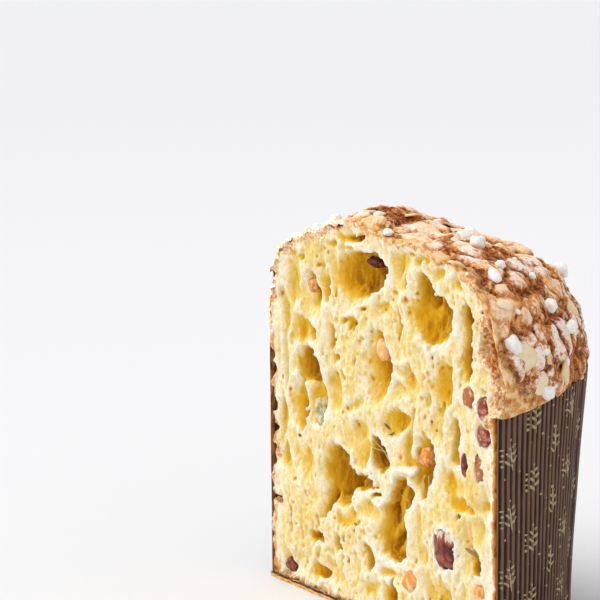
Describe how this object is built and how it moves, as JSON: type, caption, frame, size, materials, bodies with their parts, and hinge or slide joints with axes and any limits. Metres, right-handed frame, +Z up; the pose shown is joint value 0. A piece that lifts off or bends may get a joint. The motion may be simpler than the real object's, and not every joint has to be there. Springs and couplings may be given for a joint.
{
  "type": "half of a tall festive bread loaf",
  "caption": "Half of a tall domed festive loaf with open crumb, raisins and candied peel, almond and pearl sugar crust, standing in its pleated paper case.",
  "frame": {"origin": "centre of the bounding box, on the plane of the base", "axes": "+Z up, the flat cut faces -Y, +X runs to the right along the cut as seen from in front of it"},
  "size_m": [0.1761, 0.0999, 0.1835],
  "materials": {
    "bread": "matte",
    "case_paper": "matte",
    "case_base": "matte",
    "raisin": "satin",
    "peel": "satin",
    "citron": "satin"
  },
  "bodies": {
    "root": {"loaf": "bread", "paper_wall": "case_paper", "paper_base": "case_base", "raisin_low": "raisin", "raisin_rim": "raisin", "raisin_edge": "raisin", "raisin_side": "raisin", "raisin_foot": "raisin", "raisin_crown": "raisin", "peel_middle": "peel", "peel_hollow": "peel", "peel_side": "peel", "peel_wall": "peel", "peel_low": "peel", "peel_edge": "peel", "peel_shoulder": "peel", "citron": "citron"}
  },
  "joints": []
}
